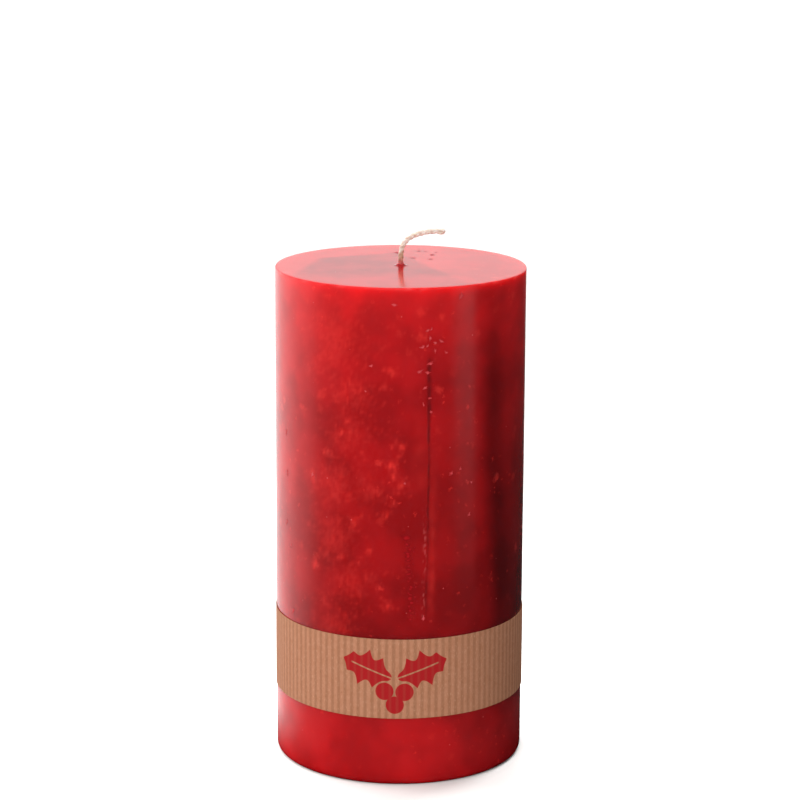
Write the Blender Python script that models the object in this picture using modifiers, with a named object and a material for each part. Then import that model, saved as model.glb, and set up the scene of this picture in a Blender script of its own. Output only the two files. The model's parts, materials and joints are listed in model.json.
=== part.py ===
"""Pillar candle: a cast wax pillar, a cotton wick with a metal foot, and a paper band that slides off.

Metres, +Z up. The origin is the middle of the base, and the wick's end leans towards +X.
"""

import math

import bmesh
import bpy
from mathutils import Vector

# Wax pillar
PILLAR_DIAMETER = 0.100
PILLAR_HEIGHT = 0.200
BASE_EDGE_ROUND = 0.0025
TOP_EDGE_ROUND = 0.0005
COLLAR_HEIGHT = 0.0008  # the wax creeps this far up the wick
COLLAR_SPREAD = 0.0024  # from the wick's bore out to the flat of the top

# Wick
WICK_DIAMETER = 0.0019
FRAYED_END = 1.25  # the cut end spreads to this many wick diameters
WICK_ROUTE = (  # the free end, from where it leaves the wax: X, Y and Z
    (0.0, 0.0, 0.0),
    (0.0, 0.0, 0.0028),
    (0.0003, 0.0, 0.0055),
    (0.0010, -0.0001, 0.0075),
    (0.0023, -0.0003, 0.0092),
    (0.0043, -0.0005, 0.0107),
    (0.0064, -0.0008, 0.0116),
    (0.0086, -0.0010, 0.0123),
    (0.0109, -0.0012, 0.0128),
    (0.0133, -0.0014, 0.0130),
    (0.0151, -0.0015, 0.0129),
    (0.0170, -0.0016, 0.0124),
)

# Metal foot, sunk in the base
FOOT_DIAMETER = 0.0150
FOOT_SHEET = 0.0003
FOOT_SETBACK = 0.0005  # its underside stays this far above the table
NECK_HEIGHT = 0.0060
NECK_WALL = 0.0003

# Paper band
BAND_BOTTOM = 0.0280
BAND_HEIGHT = 0.0325
PAPER_THICKNESS = 0.0002
LAP_LENGTH = 0.0160  # the two ends overlap this far, at the back
LAP_RISE_LENGTH = 0.0100  # the outer end climbs over the inner one along this
SEAL_WIDTH = 0.0090
SEAL_MARGIN = 0.0030  # from the band's top and bottom edges
SEAL_THICKNESS = 0.0001

# Clearances
GAP = 0.0003  # between pieces that touch on the real candle
LAP_GAP = 0.0001  # on each side of the seal, where all the layers are concentric

# Facets
ROUND_STEPS = 128
SMALL_ROUND_STEPS = 32
WICK_STEP = 0.0010
ARC_STEPS = 5
SHARP_ANGLE = math.radians(40)

# Colours: red, green and blue, linear
RED_WAX = (0.50, 0.012, 0.016)
COTTON = (0.72, 0.62, 0.50)
TIN = (0.60, 0.60, 0.58)
KRAFT = (0.42, 0.23, 0.12)
CLEAR_GLUE = (0.75, 0.68, 0.50)

# Sizes that follow from those above
PILLAR_RADIUS = PILLAR_DIAMETER / 2
WICK_RADIUS = WICK_DIAMETER / 2
WICK_BORE_RADIUS = WICK_RADIUS + GAP
NECK_RADIUS = WICK_BORE_RADIUS + NECK_WALL
NECK_BORE_RADIUS = NECK_RADIUS + GAP
FOOT_RADIUS = FOOT_DIAMETER / 2
RECESS_RADIUS = FOOT_RADIUS + GAP
RECESS_DEPTH = FOOT_SETBACK + FOOT_SHEET + GAP
NECK_TOP = FOOT_SETBACK + NECK_HEIGHT
WICK_PIVOT = Vector((0, 0, PILLAR_HEIGHT + COLLAR_HEIGHT + GAP))
WICK_CORE_TOP = WICK_PIVOT.z - WICK_RADIUS - GAP
BAND_INNER_RADIUS = PILLAR_RADIUS + GAP
LAP_STEP = PAPER_THICKNESS + SEAL_THICKNESS + 2 * LAP_GAP
LAP_MIDDLE = math.radians(90)  # the back of the candle


def clear_scene():
    for thing in list(bpy.data.objects):
        bpy.data.objects.remove(thing)


def new_material(name, colour, roughness, metallic=0.0):
    material = bpy.data.materials.new(name)
    material.use_nodes = True
    shader = material.node_tree.nodes["Principled BSDF"]
    shader.inputs["Base Color"].default_value = (*colour, 1)
    shader.inputs["Roughness"].default_value = roughness
    shader.inputs["Metallic"].default_value = metallic
    material.diffuse_color = (*colour, 1)
    return material


def add_object(name, data, material, location=(0, 0, 0)):
    made = bpy.data.objects.new(name, data)
    made.location = location
    made.data.materials.append(material)
    candle.objects.link(made)
    return made


def arc(centre_x, centre_z, radius, start, end):
    """Points along an arc, both ends included. The angles are degrees from +X towards +Z."""
    points = []
    for i in range(ARC_STEPS + 1):
        angle = math.radians(start + (end - start) * i / ARC_STEPS)
        points.append((centre_x + radius * math.cos(angle), centre_z + radius * math.sin(angle)))
    return points


def smoothed(made):
    """Makes the modifiers' result the object's own mesh, smooth except along its sharp edges."""
    bpy.context.view_layer.update()
    graph = bpy.context.evaluated_depsgraph_get()
    made.data = bpy.data.meshes.new_from_object(made.evaluated_get(graph))
    made.modifiers.clear()
    made.data.shade_smooth()
    made.data.set_sharp_from_angle(angle=SHARP_ANGLE)
    return made


def turned(name, profile, material, steps):
    """A ring-shaped solid of revolution. The closed profile runs down its outer side and back up its bore."""
    mesh = bpy.data.meshes.new(name)
    corners = [(x, 0, z) for x, z in profile]
    edges = [(i, (i + 1) % len(corners)) for i in range(len(corners))]
    mesh.from_pydata(corners, edges, [])
    made = add_object(name, mesh, material)
    screw = made.modifiers.new("Turn", "SCREW")
    screw.steps = steps
    screw.render_steps = steps
    screw.use_merge_vertices = True
    screw.merge_threshold = 1e-6
    return smoothed(made)


def make_wax_pillar(material):
    """The body, with a bore for the wick and the neck, a recess for the foot, and a collar round the wick."""
    base_round = arc(PILLAR_RADIUS - BASE_EDGE_ROUND, BASE_EDGE_ROUND, BASE_EDGE_ROUND, 0, -90)
    top_round = arc(PILLAR_RADIUS - TOP_EDGE_ROUND, PILLAR_HEIGHT - TOP_EDGE_ROUND, TOP_EDGE_ROUND, 90, 0)
    collar = [
        (WICK_BORE_RADIUS + COLLAR_SPREAD * share, PILLAR_HEIGHT + COLLAR_HEIGHT * (1 - share) ** 2)
        for share in (0, 0.1, 0.3, 0.55, 1)
    ]
    bore = [
        (RECESS_RADIUS, 0),
        (RECESS_RADIUS, RECESS_DEPTH),
        (NECK_BORE_RADIUS, RECESS_DEPTH),
        (NECK_BORE_RADIUS, NECK_TOP + GAP),
        (WICK_BORE_RADIUS, NECK_TOP + GAP + NECK_WALL),
    ]
    return turned("wax_pillar", top_round + base_round + bore + collar, material, ROUND_STEPS)


def make_wick_foot(material):
    """A pressed disc whose neck grips the wick."""
    top = FOOT_SETBACK + FOOT_SHEET
    profile = [
        (NECK_RADIUS, NECK_TOP),
        (NECK_RADIUS, top + NECK_WALL),
        (NECK_RADIUS + NECK_WALL, top),
        (FOOT_RADIUS, top),
        (FOOT_RADIUS, FOOT_SETBACK),
        (WICK_BORE_RADIUS, FOOT_SETBACK),
        (WICK_BORE_RADIUS, NECK_TOP),
    ]
    return turned("wick_foot", profile, material, SMALL_ROUND_STEPS)


def make_wick_core(material):
    """The straight length inside the wax, from the foot up to the bend."""
    length = WICK_CORE_TOP - FOOT_SETBACK
    mesh = bpy.data.meshes.new("wick_core")
    shape = bmesh.new()
    bmesh.ops.create_cone(
        shape, cap_ends=True, segments=SMALL_ROUND_STEPS // 2,
        radius1=WICK_RADIUS, radius2=WICK_RADIUS, depth=length
    )
    shape.to_mesh(mesh)
    shape.free()
    return smoothed(add_object("wick_core", mesh, material, (0, 0, FOOT_SETBACK + length / 2)))


def smooth_route(points, step):
    """A Catmull-Rom curve through the points, with a new point about every step."""
    points = [Vector(p) for p in points]
    padded = [2 * points[0] - points[1], *points, 2 * points[-1] - points[-2]]
    route = []
    for before, start, end, after in zip(padded, padded[1:], padded[2:], padded[3:]):
        count = max(1, round((end - start).length / step))
        for i in range(count):
            t = i / count
            route.append(
                0.5
                * (
                    2 * start
                    + (end - before) * t
                    + (2 * before - 5 * start + 4 * end - after) * t**2
                    + (3 * start - before - 3 * end + after) * t**3
                )
            )
    return [*route, points[-1]]


def make_wick_tip(material):
    """The free end. Its lower end is a ball round the pivot, so it turns in the bore without touching."""
    route = smooth_route(WICK_ROUTE, WICK_STEP)
    ball = [(-math.cos(math.radians(a)), math.sin(math.radians(a))) for a in (20, 45, 70)]
    stations = [(Vector((0, 0, WICK_RADIUS * height)), width) for height, width in ball]
    frayed_from = len(route) - 3
    for i, point in enumerate(route):
        spread = max(0, i - frayed_from) / (len(route) - 1 - frayed_from)
        stations.append((point, 1 + (FRAYED_END - 1) * spread))
    curve = bpy.data.curves.new("wick_tip", "CURVE")
    curve.dimensions = "3D"
    curve.bevel_depth = WICK_RADIUS
    curve.bevel_resolution = 4
    curve.use_fill_caps = True
    spline = curve.splines.new("POLY")
    spline.points.add(len(stations) - 1)
    for point, (place, width) in zip(spline.points, stations):
        point.co = (*place, 1)
        point.radius = width
    return add_object("wick_tip", curve, material, WICK_PIVOT)


def rolled_strip(name, material, radius_at, start, turns, bottom, height, thickness):
    """A thin strip rolled about Z: an open wall at radius_at(angle from its start), thickened outwards."""
    steps = max(2, round(turns * ROUND_STEPS))
    shape = bmesh.new()
    below = []
    for i in range(steps + 1):
        angle = 2 * math.pi * turns * i / steps
        radius = radius_at(angle)
        x, y = radius * math.cos(start + angle), radius * math.sin(start + angle)
        below.append(shape.verts.new((x, y, bottom)))
    edges = [shape.edges.new(pair) for pair in zip(below, below[1:])]
    raised = bmesh.ops.extrude_edge_only(shape, edges=edges)["geom"]
    upper = [v for v in raised if isinstance(v, bmesh.types.BMVert)]
    bmesh.ops.translate(shape, vec=(0, 0, height), verts=upper)
    mesh = bpy.data.meshes.new(name)
    shape.to_mesh(mesh)
    shape.free()
    made = add_object(name, mesh, material)
    wall = made.modifiers.new("Wall", "SOLIDIFY")
    wall.thickness = thickness
    wall.offset = -1  # outwards, because the strip's faces look towards the axis
    wall.use_even_offset = True
    return smoothed(made)


def make_paper_band(material):
    """The band, a hair wider than the pillar. Its middle is its object's origin, on the pillar's axis."""
    lap_turns = LAP_LENGTH / (2 * math.pi * BAND_INNER_RADIUS)
    rise_angle = LAP_RISE_LENGTH / BAND_INNER_RADIUS

    def radius_at(angle):
        share = (angle - 2 * math.pi + rise_angle) / rise_angle
        share = min(1, max(0, share))
        return BAND_INNER_RADIUS + LAP_STEP * share * share * (3 - 2 * share)

    start = LAP_MIDDLE - lap_turns * math.pi
    made = rolled_strip(
        "paper_band",
        material,
        radius_at,
        start,
        1 + lap_turns,
        -BAND_HEIGHT / 2,
        BAND_HEIGHT,
        PAPER_THICKNESS,
    )
    made.location.z = BAND_BOTTOM + BAND_HEIGHT / 2
    return made


def make_band_seal(material, band):
    """The strip of glue between the band's two ends."""
    radius = BAND_INNER_RADIUS + PAPER_THICKNESS + LAP_GAP
    turns = SEAL_WIDTH / (2 * math.pi * BAND_INNER_RADIUS)
    made = rolled_strip(
        "band_seal",
        material,
        lambda angle: radius,
        LAP_MIDDLE - turns * math.pi,
        turns,
        SEAL_MARGIN - BAND_HEIGHT / 2,
        BAND_HEIGHT - 2 * SEAL_MARGIN,
        SEAL_THICKNESS,
    )
    made.parent = band
    return made


clear_scene()
candle = bpy.data.collections.new("pillar_candle")
bpy.context.scene.collection.children.link(candle)

cotton = new_material("waxed_cotton", COTTON, 0.8)
make_wax_pillar(new_material("red_wax", RED_WAX, 0.3))
make_wick_foot(new_material("tinplate", TIN, 0.35, metallic=1.0))
make_wick_core(cotton)
make_wick_tip(cotton)
paper_band = make_paper_band(new_material("kraft_paper", KRAFT, 0.85))
make_band_seal(new_material("clear_glue", CLEAR_GLUE, 0.4), paper_band)
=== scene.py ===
import json
import math

import bpy
import numpy as np
from mathutils import Matrix, Vector, noise


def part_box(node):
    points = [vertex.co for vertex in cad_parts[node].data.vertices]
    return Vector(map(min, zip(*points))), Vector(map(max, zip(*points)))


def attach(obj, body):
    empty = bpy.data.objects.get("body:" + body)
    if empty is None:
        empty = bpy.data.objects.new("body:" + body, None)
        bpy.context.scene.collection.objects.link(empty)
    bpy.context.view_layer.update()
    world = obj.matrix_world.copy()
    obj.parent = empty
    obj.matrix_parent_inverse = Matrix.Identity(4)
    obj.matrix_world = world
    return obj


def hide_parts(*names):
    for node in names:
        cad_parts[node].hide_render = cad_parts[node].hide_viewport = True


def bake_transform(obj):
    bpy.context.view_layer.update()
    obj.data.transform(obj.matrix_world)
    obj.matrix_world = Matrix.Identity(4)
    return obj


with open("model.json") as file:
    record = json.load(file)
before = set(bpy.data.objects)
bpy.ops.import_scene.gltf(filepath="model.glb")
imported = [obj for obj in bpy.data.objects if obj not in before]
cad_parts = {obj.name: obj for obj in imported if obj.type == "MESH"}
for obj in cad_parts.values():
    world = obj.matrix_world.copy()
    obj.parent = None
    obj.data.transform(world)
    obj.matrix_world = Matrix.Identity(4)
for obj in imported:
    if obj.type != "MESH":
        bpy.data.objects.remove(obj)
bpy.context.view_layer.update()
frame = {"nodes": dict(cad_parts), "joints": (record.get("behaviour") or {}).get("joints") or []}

mm = 0.001
pillarLow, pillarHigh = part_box("wax_pillar")
pillarRadius = (pillarHigh.x - pillarLow.x) / 2
bandLow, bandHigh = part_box("paper_band")
bendPoint = Vector(next(j for j in frame["joints"] if j["name"] == "wick_bend")["pos_m"])


def hexColor(code):
    # sRGB hex to linear red, green, blue and alpha
    parts = [int(code[i:i + 2], 16) / 255 for i in (1, 3, 5)]
    return (*[c / 12.92 if c <= 0.04045 else ((c + 0.055) / 1.055) ** 2.4 for c in parts], 1)


def addNode(tree, kind, inputs=None, **settings):
    # adds a node with its settings and links, and gives back its first output;
    # an input is named, or numbered where several have one name
    node = tree.nodes.new(kind)
    for name, value in settings.items():
        setattr(node, name, value)
    for key, value in (inputs or {}).items():
        socket = node.inputs[key] if isinstance(key, int) else next(
            i for i in node.inputs if i.enabled and i.name == key
        )
        if isinstance(value, bpy.types.NodeSocket):
            tree.links.new(value, socket)
        else:
            socket.default_value = value
    return next(o for o in node.outputs if o.enabled)


def newMaterial(name):
    material = bpy.data.materials.new(name)
    material.use_nodes = True
    return material, material.node_tree, material.node_tree.nodes["Principled BSDF"]


def dress(obj, material):
    obj.data.materials.clear()
    obj.data.materials.append(material)


def startFresh(*chosen):
    # nothing but the chosen objects is selected, and the first of them is active
    if bpy.context.mode != "OBJECT":
        bpy.ops.object.mode_set(mode="OBJECT")
    bpy.ops.object.select_all(action="DESELECT")
    for obj in chosen:
        obj.select_set(True)
    if chosen:
        bpy.context.view_layer.objects.active = chosen[0]


def turnProfile(name, profile, steps):
    # a row of points (radius, height), extruded one from the next and spun round Z
    startFresh()
    points = [Vector((r, 0, z)) for r, z in profile]
    bpy.ops.mesh.primitive_plane_add(size=0.001, location=points[0])
    obj = bpy.context.object
    obj.name = name
    bpy.ops.object.mode_set(mode="EDIT")
    bpy.ops.mesh.select_all(action="SELECT")
    bpy.ops.mesh.merge(type="CENTER")
    for here, there in zip(points, points[1:]):
        bpy.ops.mesh.extrude_region_move(TRANSFORM_OT_translate={"value": there - here})
    bpy.ops.mesh.select_all(action="SELECT")
    bpy.ops.mesh.spin(steps=steps, angle=2 * math.pi, center=(0, 0, 0), axis=(0, 0, 1), use_auto_merge=False)
    bpy.ops.mesh.select_all(action="SELECT")
    bpy.ops.mesh.remove_doubles(threshold=2e-6)
    bpy.ops.mesh.normals_make_consistent(inside=False)
    bpy.ops.object.mode_set(mode="OBJECT")
    bpy.ops.object.transform_apply(location=True, rotation=True, scale=True)
    return obj


def readPoints(obj):
    points = np.empty(len(obj.data.vertices) * 3)
    obj.data.vertices.foreach_get("co", points)
    return points.reshape(-1, 3)


def writePoints(obj, points):
    obj.data.vertices.foreach_set("co", points.ravel())
    obj.data.update()


def shadeSmooth(obj, degrees):
    startFresh(obj)
    bpy.ops.object.shade_smooth_by_angle(angle=math.radians(degrees))


def hump(x, middle, width):
    # a smooth bump of height 1
    return np.exp(-(((x - middle) / width) ** 2))


def rampUp(x, low, high):
    t = np.clip((x - low) / (high - low), 0, 1)
    return t * t * (3 - 2 * t)


def unevenness(points, scale):
    # one noise value, about -1 to 1, for each point; scale is the pattern's size in metres
    return np.array([noise.noise(Vector(p) / scale) for p in points])


cameraSetup = {
    "place": (-0.0001, -1.0639, 0.3871),
    "pitch": 77.189,              # degrees up from straight down
    "roll": 0.27,
    "lens": 122.15,
}


def makeCamera(setup):
    data = bpy.data.cameras.new("studioCamera")
    data.lens = setup["lens"]
    data.sensor_width = 36
    data.clip_start = 0.01
    camera = bpy.data.objects.new("studioCamera", data)
    camera.location = setup["place"]
    tilt = Matrix.Rotation(math.radians(setup["pitch"]), 3, "X")
    camera.rotation_euler = (tilt @ Matrix.Rotation(math.radians(setup["roll"]), 3, "Z")).to_euler()
    bpy.context.scene.collection.objects.link(camera)
    bpy.context.scene.camera = camera


makeCamera(cameraSetup)


wax = {
    "steps": 320,
    "rowGap": 1.05 * mm,
    "baseEdge": 2.5 * mm,
    "topEdge": 0.35 * mm,
    "collarHeight": 0.8 * mm,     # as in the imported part
    "collarReach": 2.4 * mm,
    "collarCurve": 2.8,           # 1 for a straight slope
    "boreRadius": 1.25 * mm,
    "recessRadius": 7.8 * mm,
    "recessDepth": 1.1 * mm,
    "crowding": 0.72,             # columns are closer together at the seam, from 0 to 1
    "wave": 0.06 * mm,
    "proudest": 0.03 * mm,        # the wax swells no further than this, so that the band still passes
    "deepest": 0.5 * mm,
    "rimNicks": 0.5 * mm,
    "baseWear": 0.35 * mm,
    "seamAround": 11.2 * mm,      # from the front, measured round the wax towards +X
    "seamDepth": 0.2 * mm,
    "seamLow": 66 * mm,
    "seamHigh": 176 * mm,
    "seamWander": ((0.5 * mm, 24 * mm), (0.22 * mm, 5 * mm)),    # how far, and over what length
    "seamLean": 0.7 * mm,         # its foot lies this much further left
    "lipHeight": 0.09 * mm,
    "ridgeHeight": 0.04 * mm,
    # the wax's red by height in mm: the dye, with painted light making it lighter towards the top and the
    # foot, darkest at about 62 mm
    "redsWithPaintedLight": (
        (0, "#ac1519"), (30, "#a01317"), (62, "#820c0f"), (95, "#8e0e11"), (120, "#920f12"), (160, "#960f13"),
        (182, "#a41216"), (199, "#b01519"),
    ),
    # light clots in the wax: round the pillar, height, size (all mm) and strength
    "patches": (
        (-26, 178, 13, 0.35), (-19, 158, 8, 0.42), (-27, 120, 9, 0.30), (-20, 142, 8, 0.30),
        (-27, 100, 9, 0.30), (-20, 82, 8, 0.28), (-26, 62, 8, 0.30), (-13, 121, 6, 0.25), (8, 190, 1.5, 0.6),
        (16, 189, 1.3, 0.6), (8, 181, 2, 0.7), (3.5, 175.5, 1.4, 0.6), (-3.5, 167.5, 2, 0.6),
        (-7, 161, 1.3, 0.6), (-23.5, 143, 2.2, 0.6), (0.5, 138, 2, 0.7), (-3.5, 130.5, 2.2, 0.85),
        (0.5, 123, 2.2, 0.8), (-9, 120, 2, 0.6), (-6, 111, 1.9, 0.85), (-18.5, 107, 2.0, 0.6),
        (-33.5, 171, 2.0, 0.5), (-33, 156, 1.9, 0.5), (-38, 124, 1.9, 0.6), (-4.5, 74, 1.8, 0.7),
        (-12.5, 85, 2.2, 0.5), (-31, 72.5, 1.9, 0.5), (-40, 165, 1.6, 0.5), (-42, 148, 1.6, 0.5),
        (-21, 147, 1.6, 0.5), (-30, 134, 1.8, 0.5), (-15, 135, 1.6, 0.5), (-12, 96, 1.6, 0.5),
        (-24, 92, 1.8, 0.5), (-36, 88, 1.8, 0.5),
    ),
    # how dark the painted shade stripe down the right is, by height in mm
    "paintedShadeStripe": ((20, 0.0), (34, 0.65), (80, 0.8), (120, 0.7), (160, 0.55), (188, 0.22), (199, 0.08)),
    # the painted shadow patch's straight edges on the cut top: a point on each (x, y in mm) and the way out
    # of it
    "paintedShadowEdges": ((-40, -14, -0.97, 0.24), (-32, 17, -0.38, 0.92), (-1.5, 29.5, 0.93, 0.37)),
}
pillarTop = pillarHigh.z - wax["collarHeight"]


def waxProfile(w):
    # up the bore, over the collar, across the cut top, down the side and in under the base
    inner = [(w["boreRadius"], w["recessDepth"]), (w["boreRadius"], pillarTop)]
    collar = [
        (w["boreRadius"] + w["collarReach"] * t, pillarTop + w["collarHeight"] * (1 - t) ** w["collarCurve"])
        for t in np.linspace(0, 1, 9)
    ]
    flatFrom, flatTo = collar[-1][0], pillarRadius - w["topEdge"]
    top = [(flatFrom + (flatTo - flatFrom) * t, pillarTop) for t in np.linspace(0, 1, 26)[1:]]
    edge = [
        (flatTo + w["topEdge"] * math.sin(a), pillarTop - w["topEdge"] * (1 - math.cos(a)))
        for a in np.linspace(0, math.pi / 2, 5)[1:]
    ]
    sideTop, sideBottom = edge[-1][1], w["baseEdge"]
    rows = round((sideTop - sideBottom) / w["rowGap"])
    side = [(pillarRadius, sideTop + (sideBottom - sideTop) * t) for t in np.linspace(0, 1, rows)[1:]]
    foot = [
        (pillarRadius - w["baseEdge"] * (1 - math.cos(a)), w["baseEdge"] * (1 - math.sin(a)))
        for a in np.linspace(0, math.pi / 2, 7)[1:]
    ]
    under = [(pillarRadius - w["baseEdge"] - t * 6 * mm, 0) for t in range(1, 7)]
    recess = [(w["recessRadius"], 0), (w["recessRadius"], w["recessDepth"])]
    return [*inner, *collar, *top, *edge, *side, *foot, *under, *recess, inner[0]]


def makeWax(w):
    body = turnProfile("waxBody", waxProfile(w), w["steps"])
    points = readPoints(body)
    radius = np.hypot(points[:, 0], points[:, 1])
    angle = np.arctan2(points[:, 0], -points[:, 1])      # 0 at the front, growing towards +X
    seam = w["seamAround"] / pillarRadius
    angle = angle - w["crowding"] * np.sin(angle - seam)
    angle = (angle + np.pi) % (2 * np.pi) - np.pi
    height = points[:, 2].copy()
    outer = rampUp(radius, pillarRadius - 4 * mm, pillarRadius - 0.5 * mm)

    flat = np.stack([np.sin(angle) * pillarRadius, -np.cos(angle) * pillarRadius, height], axis=1)
    offset = w["wave"] * (unevenness(flat, 30 * mm) + 0.3 * unevenness(flat, 8 * mm) - 0.7)

    # the mould's seam: a groove that wanders a little, with a soft lip on its upper left and a ridge on its
    # lower right
    line = flat * (0, 0, 1)
    across = (angle - seam) * pillarRadius + w["seamLean"] * (1 - rampUp(height, 70 * mm, 110 * mm))
    for far, over in w["seamWander"]:
        across += far * unevenness(line, over)
    along = rampUp(height, w["seamLow"], w["seamLow"] + 9 * mm)
    along = along * (1 - rampUp(height, w["seamHigh"] - 8 * mm, w["seamHigh"]))
    wide = (0.38 + 0.5 * rampUp(height, 132 * mm, 160 * mm)) * mm
    broken = 0.45 + 0.55 * rampUp(height, 96 * mm, 112 * mm)
    groove = hump(across, 0, wide) * along * broken * np.clip(0.9 + unevenness(flat, 3 * mm), 0.5, 1)
    lip = hump(across, -3.2 * mm, 3.0 * mm) * rampUp(height, 117 * mm, 125 * mm)
    lip = lip * (1 - rampUp(height, 130 * mm, 160 * mm))
    ridge = hump(across, 1.9 * mm, 1.5 * mm) * along * (1 - rampUp(height, 95 * mm, 145 * mm))
    offset += -w["seamDepth"] * groove + w["lipHeight"] * lip + w["ridgeHeight"] * ridge

    # nicks along the cut rim and a soft, worn base edge
    rim = outer * rampUp(height, pillarTop - 2.0 * mm, pillarTop - 0.3 * mm)
    offset -= w["rimNicks"] * rim * np.clip(unevenness(flat, 2.2 * mm) - 0.38, 0, 1)
    foot = outer * (1 - rampUp(height, 1 * mm, 5 * mm))
    offset -= w["baseWear"] * foot * np.clip(unevenness(flat, 9 * mm) + 0.1, 0, 1)

    offset = np.clip(offset, -w["deepest"], w["proudest"]) * outer * rampUp(height, 0, 3 * mm)
    radius = radius + offset
    writePoints(body, np.stack([np.sin(angle) * radius, -np.cos(angle) * radius, height], axis=1))

    # what the material needs to know at each point: groove, light patch and frosted rub
    ragged = 1 + 0.9 * unevenness(flat, 1.8 * mm) + 0.5 * unevenness(flat, 5 * mm)
    feather = np.clip(0.75 + 1.1 * unevenness(flat * (1.3, 1.3, 0.8), 1.6 * mm), 0, 1.2)
    glow = (0.18 * lip + 0.26 * ridge) * np.clip(0.8 + unevenness(flat, 4 * mm), 0.3, 1.3)
    for around, up, size, strength in w["patches"]:
        way = np.hypot(angle * pillarRadius - around * mm, height - up * mm) / (size * mm)
        glow = np.maximum(glow, strength * np.exp(-1.3 * (way * ragged) ** 2) * feather)
    frost = hump(across, -1.2 * mm, 0.7 * mm) * along * (1 - rampUp(height, 104 * mm, 118 * mm))
    frost = 0.35 * frost * np.clip(unevenness(flat, 0.9 * mm) * 2.2 - 0.3, 0, 1)
    rub = 0.5 * outer * hump(height, pillarTop - 0.3 * mm, 0.5 * mm) * np.clip(unevenness(flat, 5 * mm), 0, 1)
    marks = body.data.attributes.new("marks", "FLOAT_COLOR", "POINT")
    whitish = np.maximum(frost * outer, rub)
    values = np.stack([groove * outer, glow * outer, whitish, np.ones(len(height))], axis=1)
    marks.data.foreach_set("color", values.ravel())
    shadeSmooth(body, 50)
    return body


def fillStops(ramp, stops):
    # a colour ramp's stops, each a place from 0 to 1 and a colour
    ramp.elements.remove(ramp.elements[1])
    for n, (share, color) in enumerate(stops):
        stop = ramp.elements[0] if n == 0 else ramp.elements.new(share)
        stop.position = share
        stop.color = color


def waxRedsWithPaintedLight(tree, axes, w):
    # the red by height, partly dye and partly painted light; painted shade makes it deeper on the right, and
    # painted light a little lighter far on the left
    share = addNode(tree, "ShaderNodeMath", {0: axes["Z"], 1: pillarTop / mm}, operation="DIVIDE")
    color = addNode(tree, "ShaderNodeValToRGB", {0: share})
    fillStops(color.node.color_ramp, [(up * mm / pillarTop, hexColor(code)) for up, code in w["redsWithPaintedLight"]])
    # painted shade: darker towards the right, less so high up
    paintedShadeRight = addNode(tree, "ShaderNodeMapRange", {
        "Value": axes["X"], "From Min": 4.0, "From Max": 40.0, "To Min": 0.0, "To Max": 0.5,
    }, interpolation_type="SMOOTHSTEP")
    lessHigh = addNode(tree, "ShaderNodeMapRange", {
        "Value": axes["Z"], "From Min": 95.0, "From Max": 185.0, "To Min": 1.0, "To Max": 0.15,
    })
    paintedShadeRight = addNode(tree, "ShaderNodeMath", {0: paintedShadeRight, 1: lessHigh}, operation="MULTIPLY")
    color = addNode(tree, "ShaderNodeMix", {
        "Factor": paintedShadeRight, "A": color, "B": hexColor("#66070a"),
    }, data_type="RGBA")
    # painted light: lighter far on the left
    paintedLightLeft = addNode(tree, "ShaderNodeMapRange", {
        "Value": axes["X"], "From Min": -32.0, "From Max": -48.0, "To Min": 0.0, "To Max": 0.35,
    }, interpolation_type="SMOOTHSTEP")
    return addNode(tree, "ShaderNodeMix", {
        "Factor": paintedLightLeft, "A": color, "B": hexColor("#cc2024"),
    }, data_type="RGBA")


def paintedShadeStripe(tree, axes, w):
    # painted shade: how dark the wax is painted down the right, in a stripe that is narrow at the top and
    # opens out further down
    front = addNode(tree, "ShaderNodeMath", {0: axes["Y"], 1: -1.0}, operation="MULTIPLY")
    turn = addNode(tree, "ShaderNodeMath", {0: axes["X"], 1: front}, operation="ARCTAN2")
    turn = addNode(tree, "ShaderNodeMath", {0: turn}, operation="DEGREES")
    starts = addNode(tree, "ShaderNodeMapRange", {
        "Value": axes["Z"], "From Min": 140.0, "From Max": 80.0, "To Min": 41.0, "To Max": 48.5,
    })
    turn = addNode(tree, "ShaderNodeMath", {0: turn, 1: starts}, operation="SUBTRACT")
    rise = addNode(tree, "ShaderNodeMapRange", {
        "Value": turn, "From Min": -6.0, "From Max": 5.0,
    }, interpolation_type="SMOOTHSTEP")
    fall = addNode(tree, "ShaderNodeMapRange", {
        "Value": turn, "From Min": 5.0, "From Max": 17.0,
    }, interpolation_type="SMOOTHSTEP")
    closes = addNode(tree, "ShaderNodeMapRange", {
        "Value": axes["Z"], "From Min": 175.0, "From Max": 75.0, "To Min": 0.9, "To Max": 0.1,
    })
    fall = addNode(tree, "ShaderNodeMath", {0: fall, 1: closes}, operation="MULTIPLY")
    back = addNode(tree, "ShaderNodeMapRange", {"Value": turn, "From Min": 40.0, "From Max": 75.0})
    fall = addNode(tree, "ShaderNodeMath", {0: fall, 1: back}, operation="MAXIMUM")
    fall = addNode(tree, "ShaderNodeMath", {0: 1.0, 1: fall}, operation="SUBTRACT")
    stripe = addNode(tree, "ShaderNodeMath", {0: rise, 1: fall}, operation="MULTIPLY")
    share = addNode(tree, "ShaderNodeMath", {0: axes["Z"], 1: pillarTop / mm}, operation="DIVIDE")
    depth = addNode(tree, "ShaderNodeValToRGB", {0: share})
    greys = [(up * mm / pillarTop, (much,) * 3 + (1,)) for up, much in w["paintedShadeStripe"]]
    fillStops(depth.node.color_ramp, greys)
    return addNode(tree, "ShaderNodeMath", {0: stripe, 1: depth}, operation="MULTIPLY")


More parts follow.
